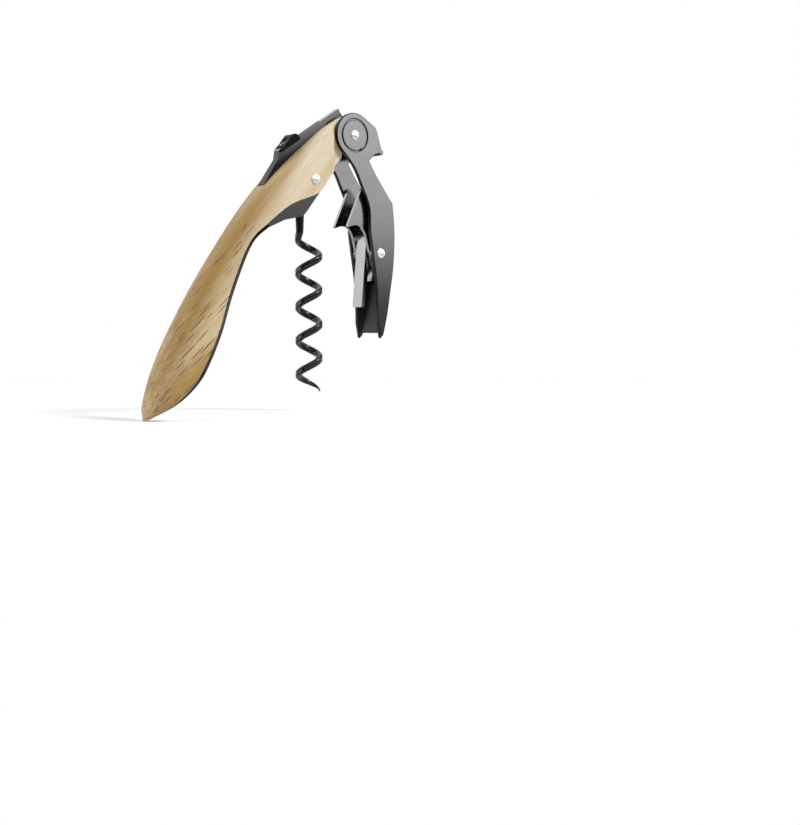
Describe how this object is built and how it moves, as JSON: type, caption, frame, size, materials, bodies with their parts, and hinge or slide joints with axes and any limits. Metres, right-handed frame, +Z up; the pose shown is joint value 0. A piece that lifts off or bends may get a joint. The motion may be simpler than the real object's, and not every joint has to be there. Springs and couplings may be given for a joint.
{
  "type": "double lever corkscrew",
  "caption": "Pocket corkscrew with a curved wooden grip, a folding worm, a stepped metal lever with a crown opener in its head, and a sliding foil cutter along the back.",
  "frame": {"origin": "on the worm's axis, at the level of the top of the cork when the tool stands on a bottle", "axes": "+Z up along the worm, +X from the grip's tail towards the lever, +Y across the tool"},
  "size_m": [0.0811, 0.0152, 0.0879],
  "materials": {
    "wood": "pale oiled wood with brown pores along the grain",
    "black_metal": "satin black chrome",
    "polished_metal": "polished dark metal",
    "polished_black": "polished black chrome",
    "rivet_steel": "bright domed heads",
    "plain_steel": "plain steel",
    "blade_steel": "ground steel",
    "knob_black": "gloss black",
    "worm_black": "slippery gloss black coat"
  },
  "bodies": {
    "handle": {"wood_grip": "wood", "frame": "black_metal", "belly_tray": "polished_metal", "hinge_bush": "plain_steel", "worm_pin": "rivet_steel", "worm_spacers": "plain_steel", "blade_cover": "black_metal", "detent_leaf": "plain_steel"},
    "slider": {"thumb_knob": "knob_black", "blade_carrier": "plain_steel", "foil_blade": "blade_steel", "blade_rivet": "plain_steel"},
    "lever": {"lever_channel": "black_metal", "hinge_pin": "rivet_steel", "hinge_washers": "plain_steel", "rocker_pin": "rivet_steel", "rocker_washers": "plain_steel"},
    "rocker": {"step_rocker": "polished_black", "rocker_bush": "plain_steel"},
    "worm": {"worm": "worm_black", "worm_block": "black_metal"}
  },
  "joints": [
    {"name": "lever_hinge", "type": "hinge", "parent": "handle", "child": "lever", "pos_m": [0.0125, 0, 0.0505], "axis": [0, 1, 0], "range_deg": [-38, 37]},
    {"name": "worm_pivot", "type": "hinge", "parent": "handle", "child": "worm", "pos_m": [-0.002, 0, 0.037], "axis": [0, 1, 0], "range_deg": [-37, 36]},
    {"name": "rocker_pivot", "type": "hinge", "parent": "lever", "child": "rocker", "pos_m": [0.022, 0, 0.017], "axis": [0, 1, 0], "range_deg": [-12, 2]},
    {"name": "blade_slide", "type": "slide", "parent": "handle", "child": "slider", "axis": [0.8387, 0, 0.5446], "range_m": [0, 0.012]}
  ],
  "couplings": [
    {"joint": "worm_pivot", "follows": "lever_hinge", "ratio": 0.97}
  ]
}
